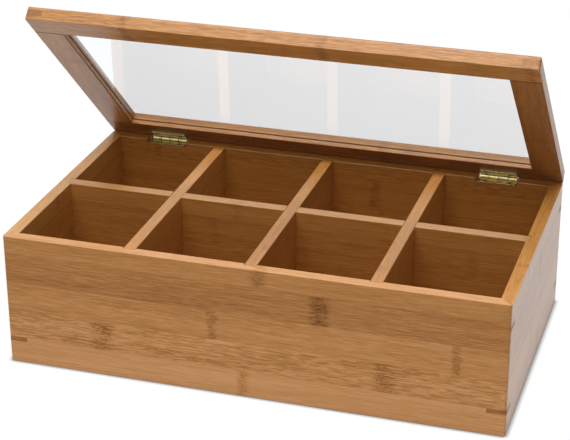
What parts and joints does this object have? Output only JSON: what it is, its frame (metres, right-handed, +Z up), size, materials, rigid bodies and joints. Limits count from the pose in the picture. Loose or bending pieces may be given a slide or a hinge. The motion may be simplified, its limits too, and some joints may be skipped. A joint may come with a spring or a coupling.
{
  "type": "tea bag organizer box",
  "caption": "Bamboo tea bag organizer box with divided compartments and a clear-windowed lid on two brass butt hinges.",
  "frame": {"origin": "middle of the box's flat underside", "axes": "+X to the right along the box's width, +Y to the back where the hinges are, +Z up; the front faces -Y"},
  "size_m": [0.318, 0.1877, 0.2171],
  "materials": {
    "board_bamboo": "satin lacquered laminated bamboo",
    "divider_bamboo": "satin lacquered laminated bamboo",
    "base_bamboo": "satin lacquered bamboo panel",
    "key_bamboo": "satin lacquered darker bamboo",
    "lid_bamboo": "satin lacquered laminated bamboo",
    "clear_pane": "polished clear acrylic",
    "hinge_brass": "rolled brass, lightly brushed",
    "pin_brass": "drawn brass wire",
    "screw_brass": "brass-plated screw head"
  },
  "bodies": {
    "box": {"front_board": "board_bamboo", "back_board": "board_bamboo", "left_board": "board_bamboo", "right_board": "board_bamboo", "bottom_panel": "base_bamboo", "front_left_keys": "key_bamboo", "front_right_keys": "key_bamboo", "back_left_keys": "key_bamboo", "back_right_keys": "key_bamboo", "long_divider": "divider_bamboo", "cross_divider_left": "divider_bamboo", "cross_divider_middle": "divider_bamboo", "cross_divider_right": "divider_bamboo", "left_hinge_box_leaf": "hinge_brass", "left_hinge_pin": "pin_brass", "left_hinge_box_screws": "screw_brass", "right_hinge_box_leaf": "hinge_brass", "right_hinge_pin": "pin_brass", "right_hinge_box_screws": "screw_brass"},
    "lid": {"lid_front_rail": "lid_bamboo", "lid_rear_rail": "lid_bamboo", "lid_left_stile": "lid_bamboo", "lid_right_stile": "lid_bamboo", "lid_pane": "clear_pane", "left_hinge_lid_leaf": "hinge_brass", "left_hinge_lid_screws": "screw_brass", "right_hinge_lid_leaf": "hinge_brass", "right_hinge_lid_screws": "screw_brass"}
  },
  "joints": [
    {"name": "lid_hinge", "type": "hinge", "parent": "box", "child": "lid", "pos_m": [0, 0.0903, 0.0855], "axis": [-1, 0, 0], "range_deg": [-43.6, 106.4]}
  ]
}
